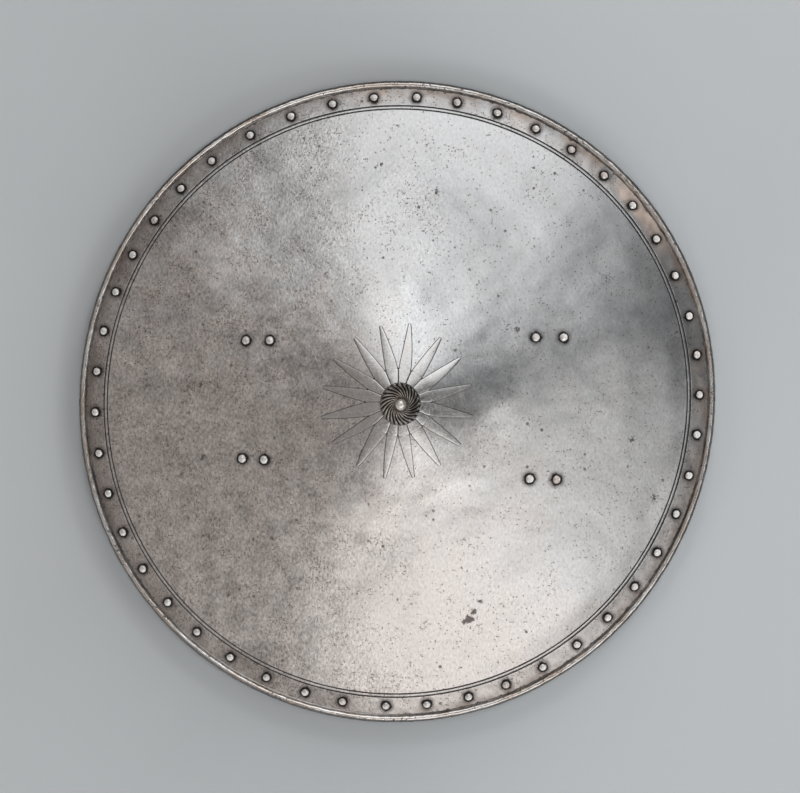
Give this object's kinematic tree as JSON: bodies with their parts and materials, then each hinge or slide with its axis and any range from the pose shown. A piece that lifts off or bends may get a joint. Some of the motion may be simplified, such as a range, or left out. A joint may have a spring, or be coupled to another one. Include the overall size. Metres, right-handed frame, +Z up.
{
  "type": "rondache",
  "caption": "Round steel shield of shallow conical form, with a rolled rim, a riveted border, and a star-shaped washer under a spirally fluted button.",
  "frame": {"origin": "on the ground under the middle of the shield, which lies face up on its rolled rim", "axes": "+Z up through the button, +Y towards the top of the shield as it is worn or hung, +X to the right seen from the front"},
  "size_m": [0.5785, 0.5834, 0.0931],
  "materials": {
    "shield_steel": "old polished steel, finely pitted, with grey and brown patina",
    "star_steel": "polished sheet steel with dark edges",
    "button_steel": "forged steel, brown in the flutes and bright on the knob",
    "rivet_steel": "worn steel with dark patina round the foot"
  },
  "bodies": {
    "root": {"shield_plate": "shield_steel", "star_washer": "star_steel", "boss_button": "button_steel", "rim_rivet_01": "rivet_steel", "rim_rivet_02": "rivet_steel", "rim_rivet_03": "rivet_steel", "rim_rivet_04": "rivet_steel", "rim_rivet_05": "rivet_steel", "rim_rivet_06": "rivet_steel", "rim_rivet_07": "rivet_steel", "rim_rivet_08": "rivet_steel", "rim_rivet_09": "rivet_steel", "rim_rivet_10": "rivet_steel", "rim_rivet_11": "rivet_steel", "rim_rivet_12": "rivet_steel", "rim_rivet_13": "rivet_steel", "rim_rivet_14": "rivet_steel", "rim_rivet_15": "rivet_steel", "rim_rivet_16": "rivet_steel", "rim_rivet_17": "rivet_steel", "rim_rivet_18": "rivet_steel", "rim_rivet_19": "rivet_steel", "rim_rivet_20": "rivet_steel", "rim_rivet_21": "rivet_steel", "rim_rivet_22": "rivet_steel", "rim_rivet_23": "rivet_steel", "rim_rivet_24": "rivet_steel", "rim_rivet_25": "rivet_steel", "rim_rivet_26": "rivet_steel", "rim_rivet_27": "rivet_steel", "rim_rivet_28": "rivet_steel", "rim_rivet_29": "rivet_steel", "rim_rivet_30": "rivet_steel", "rim_rivet_31": "rivet_steel", "rim_rivet_32": "rivet_steel", "rim_rivet_33": "rivet_steel", "rim_rivet_34": "rivet_steel", "rim_rivet_35": "rivet_steel", "rim_rivet_36": "rivet_steel", "rim_rivet_37": "rivet_steel", "rim_rivet_38": "rivet_steel", "rim_rivet_39": "rivet_steel", "rim_rivet_40": "rivet_steel", "rim_rivet_41": "rivet_steel", "rim_rivet_42": "rivet_steel", "rim_rivet_43": "rivet_steel", "rim_rivet_44": "rivet_steel", "rim_rivet_45": "rivet_steel", "rim_rivet_46": "rivet_steel", "strap_rivet_upper_left_1": "rivet_steel", "strap_rivet_upper_left_2": "rivet_steel", "strap_rivet_upper_right_1": "rivet_steel", "strap_rivet_upper_right_2": "rivet_steel", "strap_rivet_lower_left_1": "rivet_steel", "strap_rivet_lower_left_2": "rivet_steel", "strap_rivet_lower_right_1": "rivet_steel", "strap_rivet_lower_right_2": "rivet_steel"}
  },
  "joints": []
}
